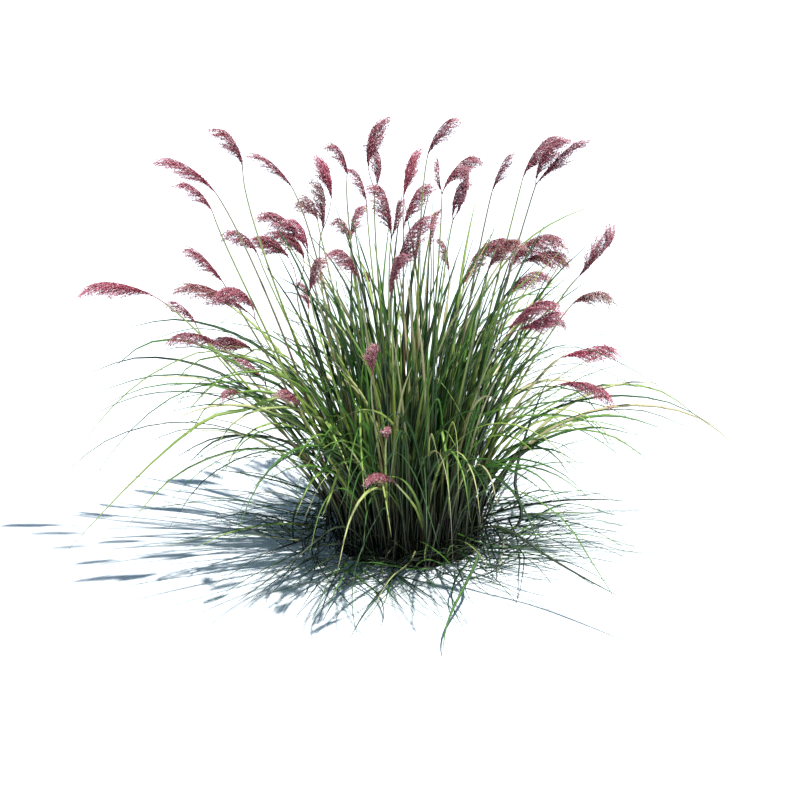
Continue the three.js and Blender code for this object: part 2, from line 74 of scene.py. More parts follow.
# Each row: the culm, the culm's top (x, y, rise as seen 20 degrees from above), the head's tip (x, rise), how
# far it bows to the left of its growth, how wide it spreads to the left, and its bare share.
HEADS = [
    (1, -444, 60, 1072, -526, 1210, -22, 40, 0.06),
    (2, -509, -60, 997, -671, 1118, -18, 32, 0.08),
    (3, -518, -150, 938, -619, 1048, -15, 28, 0.08),
    (4, -405, 260, 830, -508, 915, -18, 38, 0.06),
    (5, -489, -230, 742, -592, 868, -3, 32, 0.05),
    (6, -651, 40, 691, -891, 750, -25, 38, 0.16),
    (7, -574, 190, 632, -658, 712, -12, 30, 0.05),
    (8, -407, -330, 645, -621, 758, -12, 42, 0.1),
    (8, -407, -330, 645, -521, 733, -34, 44, 0.1),
    (9, -300, 330, 740, -419, 914, -25, 44, 0.4),
    (9, -300, 330, 740, -389, 922, -54, 36, 0.3),
    (10, -268, -200, 834, -399, 965, -18, 40, 0.08),
    (10, -268, -200, 834, -319, 944, -12, 30, 0.06),
    (11, -308, 120, 1017, -432, 1138, -12, 26, 0.05),
    (12, -246, 380, 937, -311, 1000, -10, 32, 0.04),
    (12, -246, 380, 937, -288, 1020, -8, 26, 0.04),
    (13, -230, -110, 897, -233, 1050, -6, 38, 0.04),
    (13, -230, -110, 897, -225, 1120, -18, 34, 0.4),
    (14, -165, 230, 1054, -217, 1173, -14, 34, 0.05),
    (15, -112, 420, 977, -162, 1106, -10, 26, 0.05),
    (16, -90, 60, 1020, -95, 1161, -16, 36, 0.05),
    (16, -90, 60, 1020, -76, 1240, 32, -40, 0.26),
    (17, -45, -260, 870, -84, 1049, -10, 50, 0.05),
    (17, -45, -260, 870, -30, 1000, -4, -28, 0.05),
    (18, -157, 470, 871, -127, 1002, 10, -34, 0.05),
    (18, -157, 470, 871, -200, 959, -10, 32, 0.05),
    (19, -132, -400, 753, -205, 852, -12, 40, 0.05),
    (20, -260, -360, 715, -235, 836, 14, -40, 0.04),
    (21, -271, 440, 669, -297, 774, -8, 26, 0.05),
    (22, -103, 500, 756, -114, 793, 0, 20, 0.05),
    (23, -45, -430, 705, -11, 845, 16, -32, 0.05),
    (23, -45, -430, 705, 57, 965, 22, -58, 0.12),
    (24, -12, 150, 906, 54, 1056, 14, -46, 0.05),
    (24, -12, 150, 906, 10, 1146, 10, -34, 0.4),
    (25, 51, 0, 1106, 128, 1237, 14, -36, 0.06),
    (26, 92, 250, 1008, 88, 1119, 4, 24, 0.05),
    (26, 92, 250, 1008, 197, 1138, 16, -44, 0.06),
    (27, 119, -300, 925, 150, 1049, 8, -32, 0.05),
    (27, 119, -300, 925, 160, 1092, -20, 32, 0.08),
    (28, 62, 420, 853, 76, 983, 6, -24, 0.05),
    (29, 223, -140, 1004, 269, 1126, 0, -24, 0.05),
    (30, 308, 110, 1048, 408, 1194, 14, -44, 0.05),
    (31, 341, -90, 1028, 416, 1179, 18, -38, 0.05),
    (31, 341, -90, 1028, 469, 1171, 4, -28, 0.05),
    (32, 449, -170, 760, 570, 896, -6, 42, 0.06),
    (33, 150, 430, 740, 300, 903, 36, -52, 0.3),
    (33, 150, 430, 740, 203, 848, 6, -34, 0.12),
    (34, 211, -350, 774, 300, 883, 14, -42, 0.05),
    (35, 272, 200, 780, 325, 865, 12, -32, 0.06),
    (35, 272, 200, 780, 446, 892, 42, -60, 0.06),
    (35, 272, 200, 780, 450, 842, 20, -46, 0.2),
    (36, 260, 380, 704, 388, 801, 16, -42, 0.06),
    (37, 260, -380, 598, 399, 707, 16, -42, 0.06),
    (37, 260, -380, 598, 402, 682, -12, -36, 0.22),
    (38, 354, 330, 623, 437, 648, 6, -24, 0.05),
    (39, 429, -250, 678, 558, 714, 20, -34, 0.06),
    (40, 408, 130, 535, 578, 575, 8, -40, 0.06),
    (41, 389, -100, 455, 567, 416, 26, -34, 0.06),
    (42, -490, -60, 559, -659, 595, -26, 34, 0.06),
    (43, -385, 170, 458, -545, 606, -44, 38, 0.4),
    (43, -385, 170, 458, -486, 555, -12, 34, 0.06),
    (44, -449, -290, 434, -504, 437, -8, 28, 0.05),
    (45, -287, -440, 394, -346, 451, -8, 30, 0.05),
    (46, -96, -520, 486, -73, 580, 2, 34, 0.05),
    (47, -57, -560, 307, -45, 339, 0, 22, 0.05),
    (48, -32, -600, 180, -114, 203, -8, 26, 0.05),
    (49, 85, 520, 645, 93, 690, 0, 18, 0.05),
    (50, 113, 560, 784, 89, 902, -6, 26, 0.05),
]


def unit(v):
    return v / np.linalg.norm(v, axis=-1, keepdims=True)


def standing(x, y, rise):
    """The place at depth y that shows at x and rise when seen 20 degrees from above."""
    return np.array([x, y, rise - y * math.tan(VIEW_UP)])


class Head:
    """Where a flower head's axis runs, and to which side its feather spreads."""

    def __init__(self, culm, x, y, rise, tip_x, tip_rise, bow, feather, bare):
        self.culm, self.width, self.bare = culm, abs(feather), bare
        self.foot = standing(x, y, rise)
        self.tip = standing(tip_x, y * (1 + OUTWARD_LEAN), tip_rise)
        chord = self.tip - self.foot
        ahead = unit(chord)
        left = unit(np.cross(VIEW, ahead))
        outward = unit(np.array([x, y, 0.0]))
        arch = outward * ahead[2] - UP * (outward @ ahead)
        depth_share = abs(outward[1])
        over = arch * OUTWARD_ARCH * np.linalg.norm(chord) * depth_share
        self.middle = self.foot + chord * 0.5 + left * 2 * bow - over
        self.feather = unit(left * np.sign(feather) + arch * 0.8 * depth_share)
        self.length = np.linalg.norm(np.diff(self.points(60), axis=0), axis=1).sum()

    def at(self, share):
        share = np.asarray(share, float)[..., None]
        back = 1 - share
        return back**2 * self.foot + 2 * share * back * self.middle + share**2 * self.tip

    def ahead(self, share):
        share = np.asarray(share, float)[..., None]
        return unit((1 - share) * (self.middle - self.foot) + share * (self.tip - self.middle))

    def points(self, steps):
        return self.at(np.linspace(0, 1, steps + 1))


heads = [Head(*row) for row in HEADS]


def shape(bm):
    """The corners and triangles of a finished bmesh, to be repeated."""
    bmesh.ops.recalc_face_normals(bm, faces=bm.faces)
    bmesh.ops.triangulate(bm, faces=bm.faces)
    bm.verts.index_update()
    corners = np.array([v.co[:] for v in bm.verts])
    faces = np.array([[v.index for v in f.verts] for f in bm.faces])
    bm.free()
    return corners, faces


def rod(sides, steps):
    """A straight closed rod from z 0 to 1, to be bent along a line."""
    bm = bmesh.new()
    bmesh.ops.create_cone(bm, cap_ends=True, cap_tris=False, segments=sides, radius1=1, radius2=1, depth=1)
    bmesh.ops.translate(bm, verts=bm.verts, vec=(0, 0, 0.5))
    long_edges = [e for e in bm.edges if abs(e.verts[0].co.z - e.verts[1].co.z) > 0.5]
    bmesh.ops.subdivide_edges(bm, edges=long_edges, cuts=steps - 1, use_grid_fill=True)
    return shape(bm)


def along(lines, z):
    """The points and directions at height z (0 to 1) of lines that hold evenly spaced points."""
    steps = lines.shape[1] - 1
    low = np.clip(np.floor(z * steps).astype(int), 0, steps - 1)
    share = (z * steps - low)[None, :, None]
    points = lines[:, low] * (1 - share) + lines[:, low + 1] * share
    ring = np.round(z * steps).astype(int)
    ahead = lines[:, np.minimum(ring + 1, steps)] - lines[:, np.maximum(ring - 1, 0)]
    return points, unit(ahead)


def swept(form, lines, across, half, depth, roll=0.0):
    """A form's copies, bent along lines. half and depth are (lines, corners) arrays of millimetres."""
    corners, faces = form
    points, ahead = along(lines, corners[:, 2])
    across = across[:, None, :] - (across[:, None, :] * ahead).sum(-1, keepdims=True) * ahead
    side = unit(across)
    over = np.cross(ahead, side)
    turn = np.broadcast_to(roll, side.shape[:2])[..., None]
    side, over = side * np.cos(turn) + over * np.sin(turn), over * np.cos(turn) - side * np.sin(turn)
    placed = points + side * (half * corners[:, 0])[..., None] + over * (depth * corners[:, 1])[..., None]
    return placed, faces


def planted(form, feet, ahead, turn, length, thick):
    """A form's copies, standing straight on feet along the ahead directions."""
    corners, faces = form
    side = unit(np.cross(ahead, unit(turn)))
    over = np.cross(ahead, side)
    flat = side[:, None] * corners[None, :, 0, None] + over[:, None] * corners[None, :, 1, None]
    tall = ahead[:, None] * corners[None, :, 2, None]
    return feet[:, None] + flat * thick[:, None, None] + tall * length[:, None, None], faces


class Growth:
    """Gathers repeated shapes with their colour values, and makes them one piece."""

    def __init__(self):
        self.corners, self.faces, self.values, self.count = [], [], {}, 0

    def add(self, copies, **values):
        placed, faces = copies
        number, each = placed.shape[:2]
        self.corners.append(placed.reshape(-1, 3))
        starts = self.count + each * np.arange(number)
        self.faces.append((faces[None] + starts[:, None, None]).reshape(-1, 3))
        self.count += number * each
        for name, value in values.items():
            spread = np.broadcast_to(value, (number, each)).reshape(-1)
            self.values.setdefault(name, []).append(spread)

    def piece(self, name, finish, slot, *nodes):
        mesh = bpy.data.meshes.new(name)
        corners = np.concatenate(self.corners) * MM
        faces = np.concatenate(self.faces)
        mesh.vertices.add(len(corners))
        mesh.vertices.foreach_set("co", corners.ravel())
        mesh.loops.add(faces.size)
        mesh.loops.foreach_set("vertex_index", faces.ravel().astype(np.int32))
        mesh.polygons.add(len(faces))
        mesh.polygons.foreach_set("loop_start", np.arange(0, faces.size, 3, dtype=np.int32))
        mesh.update(calc_edges=True)
        mesh.shade_smooth()
        for key, value in self.values.items():
            layer = mesh.attributes.new(key, "FLOAT", "POINT")
            layer.data.foreach_set("value", np.concatenate(value).astype(np.float32))
        mesh.materials.append(finish)
        made = bpy.data.objects.new(name, mesh)
        bpy.context.collection.objects.link(made)
        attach(made, "root")
        if nodes:
            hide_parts(*nodes)


class Wire:
    """A shader socket that adds and multiplies like a number. node() adds any other shader node."""

    def __init__(self, tree, socket=None):
        self.tree, self.socket = tree, socket

    def node(self, kind, settings=None, inputs=None, output=0):
        made = self.tree.nodes.new(kind)
        for key, value in (settings or {}).items():
            if key == "stops":
                while len(made.color_ramp.elements) < len(value):
                    made.color_ramp.elements.new(0.5)
                for stop, (place, color) in zip(made.color_ramp.elements, value):
                    stop.position = place
                    stop.color = (*srgb(*color), 1)
            else:
                setattr(made, key, value)
        for key, value in (inputs or {}).items():
            if isinstance(value, Wire):
                self.tree.links.new(value.socket, made.inputs[key])
            else:
                made.inputs[key].default_value = value
        return Wire(self.tree, made.outputs[output])

    def math(self, operation, *values):
        return self.node("ShaderNodeMath", {"operation": operation}, dict(enumerate(values)))

    def __add__(self, other):
        return self.math("ADD", self, other)

    def __sub__(self, other):
        return self.math("SUBTRACT", self, other)

    def __rsub__(self, other):
        return self.math("SUBTRACT", other, self)

    def __mul__(self, other):
        return self.math("MULTIPLY", self, other)

    def __pow__(self, other):
        return self.math("POWER", self, other)

    __radd__ = __add__
    __rmul__ = __mul__


def srgb(red, green, blue):
    """A colour given in 0 to 255 as a screen shows it, as light."""
    return tuple((c / 255) ** 2.2 for c in (red, green, blue))


def new_finish(name, **settings):
    """A material, a wire that starts its shader sums, and its surface."""
    material = bpy.data.materials.new(name)
    material.use_nodes = True
    surface = material.node_tree.nodes["Principled BSDF"]
    for key, value in settings.items():
        surface.inputs[key.replace("_", " ")].default_value = value
    return material, Wire(material.node_tree), surface


def mixed(start, factor, first, second, blend="MIX"):
    """Two colours mixed by a factor."""
    inputs = {0: factor, 6: first, 7: second}
    return start.node("ShaderNodeMix", {"data_type": "RGBA", "blend_type": blend}, inputs, 2)


def value_of(start, name):
    """A colour value kept with the corners of a piece."""
    return start.node("ShaderNodeAttribute", {"attribute_name": name}, output=2)


silk, start, surface = new_finish("plume silk", Sheen_Weight=0.15, Sheen_Roughness=0.4)
surface.inputs["Sheen Tint"].default_value = (1.0, 0.8, 0.8, 1)
place = start.node("ShaderNodeTexCoord", output=3)
mottle = start.node("ShaderNodeTexNoise", inputs={"Vector": place, "Scale": 160, "Detail": 2})
shade = value_of(start, "shade") + (mottle - 0.45) * 0.4
bright = value_of(start, "bright")
rose = start.node("ShaderNodeValToRGB", {"stops": [
    (0.0, (80, 22, 32)),
    (0.3, (144, 62, 76)),
    (0.6, (194, 114, 126)),
    (0.85, (228, 170, 177)),
    (1.0, (244, 214, 217)),
]}, {"Fac": shade})
pink = start.node("ShaderNodeValToRGB", {"stops": [
    (0.0, (112, 32, 46)),
    (0.3, (188, 76, 100)),
    (0.6, (226, 126, 147)),
    (0.85, (242, 178, 190)),
    (1.0, (250, 214, 220)),
]}, {"Fac": shade})
color = mixed(start, bright, rose, pink)
brown = mixed(start, 1.0, color, (0.8, 1.5, 0.75, 1), "MULTIPLY")
brownness = bright * -1
color = mixed(start, brownness, color, brown)
start.tree.links.new(color.socket, surface.inputs["Base Color"])
start.tree.links.new((0.85 - shade * 0.25).socket, surface.inputs["Roughness"])

# The small shapes that every head repeats: a strand, a husk (a spindle) and a hair (a thin spike).
strand_form = rod(3, 3)
axis_form = rod(5, 10)
bm = bmesh.new()
bmesh.ops.create_uvsphere(bm, u_segments=3, v_segments=2, radius=1)
bmesh.ops.scale(bm, verts=bm.verts, vec=(0.55, 0.55, 0.5))
bmesh.ops.translate(bm, verts=bm.verts, vec=(0, 0, 0.5))
husk_form = shape(bm)
bm = bmesh.new()
bmesh.ops.create_cone(bm, cap_ends=True, segments=3, radius1=0.5, radius2=0, depth=1)
bmesh.ops.translate(bm, verts=bm.verts, vec=(0, 0, 0.5))
hair_form = shape(bm)

# The heads that show a brighter pink (above 0) and those that are browner (below 0), by their row's place in
# the list, counted from 0.
BRIGHT = {
    1: 0.5, 2: 0.5, 4: 0.3, 5: 0.8, 7: -0.2, 8: 0.3, 12: 0.9, 13: 0.2, 14: -0.3, 15: -0.3, 16: -0.3, 17: 1.0,
    27: -0.2, 33: 0.4, 47: -0.3, 52: 0.4, 53: 0.7, 55: -0.4, 56: 1.0, 57: 0.5, 60: 0.5,
}
fuzz = np.random.default_rng(71)


def body_width(past):
    """How wide a head's body is along it, as a share of its full width."""
    swell = np.clip(past / 0.6, 0, 1)
    return (0.05 + 0.95 * swell**2 * (3 - 2 * swell)) * (1 - 0.6 * past**3) / 0.8


def aside(dirs, towards):
    """Chance directions square to dirs, drawn a little towards one side."""
    turn = unit(fuzz.normal(size=dirs.shape)) + towards
    return unit(turn - (turn * dirs).sum(-1, keepdims=True) * dirs)


def hooked(head, t):
    """The head's axis at t, curled over at its tip, with its directions to the feather's side and beside."""
    ahead = head.ahead(np.minimum(t, 1.1))
    feather = unit(head.feather - (ahead @ head.feather)[..., None] * ahead)
    hook = HOOK_REACH * head.width * np.clip((t - HOOK_START) / (1 - HOOK_START), 0, 1.2) ** 2
    return head.at(t) + feather * hook[..., None], feather, np.cross(ahead, feather)


def grow_axis(growth, head, bright):
    height = axis_form[0][:, 2]
    line = hooked(head, np.linspace(0, AXIS_END, 11))[0][None]
    radius = (AXIS_RADIUS * (1 - 0.8 * height))[None]
    bent = swept(axis_form, line, head.feather[None], radius, radius)
    growth.add(bent, shade=0.05 + 0.2 * height, bright=bright)


def grow_strands(growth, head, bright):
    """Adds a head's strands. Gives their lines, shades at the foot, places across and body widths."""
    count = int(np.clip(head.length * head.width / AREA_PER_STRAND, *STRAND_COUNT))
    share = head.bare + (LAST_STRAND - head.bare) * np.linspace(0, 1, count) ** 1.15
    share = np.clip(share + fuzz.normal(0, 0.01, count), head.bare * 0.8, 0.86)
    reach = np.minimum(fuzz.uniform(*STRAND_REACH, count) * (1 - 0.3 * share), 1.02 - share)
    reach *= np.where(reach + share > 0.9, fuzz.uniform(0.75, 1.05, count), 1)
    from_middle, roll = np.sqrt(fuzz.random(count)), fuzz.uniform(-np.pi, np.pi, count)
    to_feather = 0.34 + 0.42 * from_middle * np.cos(roll)
    to_side = 0.36 * from_middle * np.sin(roll)
    u = np.linspace(0, 1, 9)
    t = share[:, None] + reach[:, None] * u
    past = np.clip((t - head.bare) / (1 - head.bare), 0, 1)
    axis, feather, beside = hooked(head, t)
    off = feather * to_feather[:, None, None] + beside * to_side[:, None, None]
    away = head.width * STRAND_SPREAD * body_width(past) * (1 - (1 - u) ** 2.2)
    splay = fuzz.uniform(0, 0.45, count)[:, None] * head.width * np.maximum(to_feather, 0)[:, None] * u**3
    sag = -UP * (head.length * reach[:, None] * STRAND_SAG * u**2.4)[..., None]
    lines = axis + off * away[..., None] + feather * splay[..., None] + sag
    height = strand_form[0][:, 2]
    radius = np.broadcast_to(0.45 - 0.2 * height, (count, len(height)))
    foot_shades = 0.06 + 0.38 * past[:, 0]
    bent = swept(strand_form, lines, beside[:, 0], radius, radius)
    growth.add(bent, shade=foot_shades[:, None] + 0.3 * height[None], bright=bright)
    return lines, foot_shades, from_middle, body_width(past)


def grow_husks(growth, head, bright, lines, foot_shades, from_middle, widths):
    """Adds the stalks, husks and hairs that stand along a head's strands."""
    u = np.linspace(0, 1, lines.shape[1])
    lengths = np.linalg.norm(np.diff(lines, axis=1), axis=2).sum(1)
    feet, dirs, shades, sizes, spaces = [], [], [], [], []
    for k, length in enumerate(lengths):
        on_it = max(4, int(length / HUSK_SPACING))
        places = np.clip(np.linspace(0.08, 0.98, on_it) + fuzz.normal(0, 0.03, on_it), 0, 1)
        points, forward = along(lines[k][None], places)
        feet.append(points[0])
        dirs.append(forward[0])
        shades.append(foot_shades[k] + 0.36 * places**1.3 + 0.1 * from_middle[k])
        sizes.append(1.1 - 0.35 * places)
        spaces.append(0.3 + 0.7 * np.interp(places, u, widths[k]))
    feet, dirs, shades, sizes, spaces = map(np.concatenate, (feet, dirs, shades, sizes, spaces))
    n = len(feet)
    way = unit(dirs + aside(dirs, 0.6 * head.feather) * fuzz.uniform(0.3, 1.1, n)[:, None])
    stalk = fuzz.uniform(*STALK_LENGTH, n) * sizes * spaces
    stalks = planted(hair_form, feet, way, dirs + way[:, ::-1] * 0.3, stalk + 2, np.full(n, STALK_WIDTH))
    growth.add(stalks, shade=shades[:, None], bright=bright)
    speckle = fuzz.normal(0, 0.28, n)
    husks = planted(
        husk_form, feet + way * stalk[:, None], unit(way + dirs * 0.8), aside(dirs, 0.0),
        fuzz.uniform(*HUSK_LENGTH, n) * sizes, fuzz.uniform(*HUSK_WIDTH, n) * sizes,
    )
    growth.add(husks, shade=(shades + speckle)[:, None], bright=bright)
    haired = fuzz.random(n) < HAIR_SHARE
    way = unit(dirs + aside(dirs, 0.5 * head.feather) * fuzz.uniform(0.5, 1.0, n)[:, None])[haired]
    hairs = planted(
        hair_form, feet[haired], way, dirs[haired] + way[:, ::-1] * 0.3,
        (fuzz.uniform(*HAIR_LENGTH, n) * spaces)[haired], np.full(haired.sum(), HAIR_WIDTH),
    )
    growth.add(hairs, shade=(shades + 0.3)[haired][:, None], bright=bright)


def grow_head(growth, number, head):
    bright = BRIGHT.get(number, 0.0)
    grow_axis(growth, head, bright)
    grow_husks(growth, head, bright, *grow_strands(growth, head, bright))


culm_count = max(head.culm for head in heads)
for culm in range(1, culm_count + 1):
    plume = Growth()
    for number, head in enumerate(heads):
        if head.culm == culm:
            grow_head(plume, number, head)
    plume.piece(f"feather_{culm:02d}", silk, "plumes", f"plume_{culm:02d}")


# Culms: thin round stems, grey-green, with a joint every hand's width or two. Each grows out of a hummock of
# leaf bases on the crown and meets the foot of its flower heads square on. The seeded draws and the
# clearances below put each one where its solid is.
CROWN_RADIUS = 232
CROWN_HEIGHT = 24
HUMMOCK_RING = 150
HUMMOCK_RADIUS = 74
HUMMOCK_HEIGHT = 36
GAP = 0.3
ROOT_DEPTH = 12
ROOT_REACH = 0.72
CULM_ROOT_SHARE = 0.36
SEARCH_STEP = 1.2
MIN_CLEARANCE = 0.6
FOOT_CLEARANCE = 0.7
TRIES = 90
CULM_FOOT_RADIUS = 2.8
CULM_STOPS = (0, 0.33, 0.66, 0.95, 1)
CULM_RINGS = 36
JOINT_RINGS = [5, 11, 17, 24]
JOINT_SWELL = 0.2
STEM_RADIUS = 1.9
STEM_FLARE = 2.3
DULLNESS = [0.0, 0.9, 0.2, 0.6, 0.0]
HEAD_AXIS_RADIUS = 2.2
HUMMOCK_BASE = CROWN_HEIGHT + GAP
hummocks = [np.zeros(2)] + [
    HUMMOCK_RING * np.array([math.cos(k * math.pi / 3), math.sin(k * math.pi / 3)]) for k in range(6)
]
seed = 20413


def draw(low=0.0, high=1.0):
    global seed
    seed = (seed * 48271) % 2147483647
    return low + (high - low) * (seed / 2147483647)


class Standing:
    """What already stands: pieces of line with their owner and radius."""

    starts, ends = np.zeros((0, 3)), np.zeros((0, 3))
    radii, owners, feet = np.zeros(0), np.zeros(0, int), np.zeros(0, bool)


def claim(owner, line, radius):
    steps = len(line) - 1
    Standing.starts = np.vstack([Standing.starts, line[:-1]])
    Standing.ends = np.vstack([Standing.ends, line[1:]])
    Standing.radii = np.append(Standing.radii, np.full(steps, radius))
    Standing.owners = np.append(Standing.owners, np.full(steps, owner))
    Standing.feet = np.append(Standing.feet, np.arange(steps) == 0)


def distances(start, end):
    """How far each stretch from start to end is from each that stands."""
    along_one, along_two = (end - start)[:, None], (Standing.ends - Standing.starts)[None]
    between = start[:, None] - Standing.starts[None]
    a, e = (along_one**2).sum(-1), (along_two**2).sum(-1)
    b, c, f = (along_one * along_two).sum(-1), (along_one * between).sum(-1), (along_two * between).sum(-1)
    spread = a * e - b * b
    s = np.clip(np.where(spread > 1e-9, (b * f - c * e) / np.maximum(spread, 1e-9), 0), 0, 1)
    t = (b * s + f) / e
    s = np.where(t < 0, np.clip(-c / a, 0, 1), np.where(t > 1, np.clip((b - c) / a, 0, 1), s))
    t = np.clip(t, 0, 1)
    return np.linalg.norm(between + along_one * s[..., None] - along_two * t[..., None], axis=-1)


def is_clear(owner, line, radius, carried=None):
    """Whether a line keeps off the other hummocks and all that stands, apart from the heads it carries."""
    for point in line[1:]:
        if point[2] <= HUMMOCK_BASE + HUMMOCK_HEIGHT + radius:
            for k, centre in enumerate(hummocks):
                if k != owner and math.dist(point[:2], centre) <= HUMMOCK_RADIUS + radius:
                    return False
    same = Standing.owners == owner
    first = np.arange(len(line) - 1)[:, None] == 0
    share = np.where(same[None] & (first | Standing.feet[None]), FOOT_CLEARANCE, 1)
    near = distances(line[:-1], line[1:]) < share * (radius + Standing.radii) + MIN_CLEARANCE
    return not (near & (Standing.owners != carried)).any()


def nearest_hummock(x, y):
    return int(np.argmin([math.hypot(c[0] - x, c[1] - y) for c in hummocks]))


def root_on(owner, x, y):
    """The point of a hummock's surface from which something that heads for (x, y) grows."""
    local = np.array([x, y]) - hummocks[owner]
    reach = math.hypot(*local)
    if reach > HUMMOCK_RADIUS * ROOT_REACH:
        local = local * (HUMMOCK_RADIUS * ROOT_REACH / reach)
    share = math.hypot(*local) / HUMMOCK_RADIUS
    top = HUMMOCK_BASE + HUMMOCK_HEIGHT * (1 - 0.75 * share**2)
    return np.array([*(hummocks[owner] + local), top - ROOT_DEPTH])


def head_mark(culm):
    """The owner's number under which a culm's heads are claimed."""
    return -culm


def lay_culm(culm):
    own = [head for head in heads if head.culm == culm]
    starts = [unit(head.at(0.0001) - head.at(0)) for head in own]
    ahead = unit(sum(starts))
    turned = max(math.acos(min(1, s @ ahead)) for s in starts)
    top = own[0].foot - ahead * (GAP + HEAD_AXIS_RADIUS * math.sin(turned))
    for turn in range(TRIES):
        spread = turn * SEARCH_STEP
        x = own[0].foot[0] * CULM_ROOT_SHARE + draw(-spread, spread)
        y = own[0].foot[1] * CULM_ROOT_SHARE + draw(-spread, spread)
        owner = nearest_hummock(x, y)
        root = root_on(owner, x, y)
        reach = math.dist(root, top)
        low = root + np.array([root[0] * 0.1, root[1] * 0.1, reach * 0.25])
        high = top - ahead * reach * 0.16
        line = cubic(root, low, high, top, np.array(CULM_STOPS)[:, None])
        if is_clear(owner, line, CULM_FOOT_RADIUS, head_mark(culm)):
            claim(owner, line, CULM_FOOT_RADIUS)
            return owner, cubic(root, low, high, top, np.linspace(0, 1, 25)[:, None])


def cubic(a, b, c, d, t):
    return (1 - t) ** 3 * a + 3 * t * (1 - t) ** 2 * b + 3 * t**2 * (1 - t) * c + t**3 * d


for head in heads:
    claim(head_mark(head.culm), head.points(AXIS_STEPS), HEAD_CLEARANCE)
culms = [lay_culm(culm) for culm in range(1, culm_count + 1)]

stem, start, surface = new_finish("culm green")
place = start.node("ShaderNodeTexCoord", output=3)
fleck = start.node("ShaderNodeTexNoise", inputs={"Vector": place, "Scale": 55, "Detail": 3})
height = value_of(start, "along")
# Painted shade: both ramps below run near-black over the lowest fifth of each culm and reach the culm's own
# green or dull colour by 0.42 to 0.45 of its height, standing in for the shade deep inside the clump.
stem_colour_and_shade = start.node("ShaderNodeValToRGB", {"stops": [
    (0.0, (18, 18, 10)),
    (0.2, (34, 36, 18)),
    (0.42, (118, 136, 46)),
    (0.55, (136, 156, 64)),
    (0.75, (144, 162, 92)),
    (1.0, (138, 140, 98)),
]}, {"Fac": height + (fleck - 0.5) * 0.25})
dull = start.node("ShaderNodeValToRGB", {"stops": [
    (0.0, (16, 12, 10)),
    (0.2, (30, 22, 18)),
    (0.45, (120, 88, 70)),
    (0.7, (138, 128, 104)),
    (1.0, (134, 130, 104)),
]}, {"Fac": height})
stem_colour_and_shade = mixed(start, value_of(start, "dull"), stem_colour_and_shade, dull)
joint = value_of(start, "joint")
color = mixed(start, joint * 0.7, stem_colour_and_shade, (*srgb(70, 46, 34), 1))
start.tree.links.new(color.socket, surface.inputs["Base Color"])
start.tree.links.new((0.4 + fleck * 0.3).socket, surface.inputs["Roughness"])

culm_form = rod(6, CULM_RINGS)
height = culm_form[0][:, 2]
joints = np.zeros(CULM_RINGS + 1)
joints[JOINT_RINGS] = 1
joints = joints[np.round(height * CULM_RINGS).astype(int)]
radius = (STEM_RADIUS + STEM_FLARE * (1 - height) ** 0.9) * (1 + JOINT_SWELL * joints)
for owner in range(len(hummocks)):
    stems = Growth()
    for number, line in enumerate(line for own, line in culms if own == owner):
        bent = swept(culm_form, line[None], np.array([[1.0, 0, 0]]), radius[None], radius[None])
        stems.add(bent, along=height, joint=joints, dull=DULLNESS[number % len(DULLNESS)])
    if stems.count:
        stems.piece(f"culms_{owner + 1:02d}", stem, "leaves", f"tuft_{owner + 1:02d}")


# Leaves: keeled blades, green with a paler midrib and fine long veins, some of them yellowing or dry, that
# grow from the crown and arch over. Those that stand out singly come first, then the tufts' own, and then
# more that thicken the clump.
BLADES_PER_TUFT = 28
KEEL_DEPTH = 1.275
LEAST_HEIGHT = 2.5

# Each row: the blade's width, how deep its tip stands (y), and the points that it passes through (x, rise).
LONE_BLADES = [
    (9, -250, (-250, 400), (-440, 388), (-618, 307), (-950, -52)),
    (7, 100, (-240, 230), (-430, 335), (-621, 348), (-813, 167)),
    (6, -90, (-248, 98), (-564, 126), (-930, 49)),
    (9, 80, (-292, 391), (-421, 492), (-645, 600), (-818, 488)),
    (5, 150, (-200, 380), (-500, 560), (-760, 440), (-930, 215)),
    (5, -120, (-180, 330), (-450, 470), (-700, 380), (-890, 120)),
    (9, 120, (60, 420), (197, 704), (335, 890), (537, 988)),
    (6, -60, (180, 420), (402, 690), (560, 690), (729, 560)),
    (7, 180, (120, 330), (330, 530), (500, 560), (745, 411)),
    (8, -140, (150, 340), (350, 500), (560, 490), (829, 256)),
    (6, 40, (140, 300), (340, 470), (510, 490), (737, 400)),
    (7, -60, (300, 400), (513, 485), (680, 320), (829, 24)),
    (5, 230, (250, 350), (475, 414), (645, 336)),
    (5, -230, (320, 310), (540, 350), (702, 250)),
    (9, 90, (150, 60), (300, 190), (480, 310), (699, 250)),
    (6, 310, (300, 330), (470, 330), (626, 210)),
    (7, -160, (150, 260), (297, 322), (456, 215), (626, -30)),
    (5, -300, (230, 390), (354, 428), (424, 290), (420, 200)),
    (8, -120, (305, 55), (289, 175), (320, 328), (389, 509)),
    (7, -800, (200, 170), (405, 86), (529, -118), (640, -282)),
    (6, -850, (-60, 120), (-150, -100), (-120, -300)),
    (8, -890, (190, 0), (150, -112), (100, -220), (95, -318)),
    (8, -420, (-140, 300), (-130, 400), (-125, 260), (-110, 80)),
    (7, -400, (-110, 270), (-120, 382), (-90, 350), (-50, 190)),
    (8, -430, (-150, 330), (-220, 360), (-190, 300), (-150, 190)),
    (8, -380, (-120, 210), (-175, 240), (-215, 120), (-240, 70)),
    (9, -400, (60, 250), (88, 330), (105, 220), (110, 80)),
    (9, -300, (-10, 380), (60, 490), (140, 380), (215, 190)),
    (6, -560, (230, 60), (420, -60), (580, -150)),
    (6, -640, (-180, 60), (-330, -60), (-500, -190)),
]

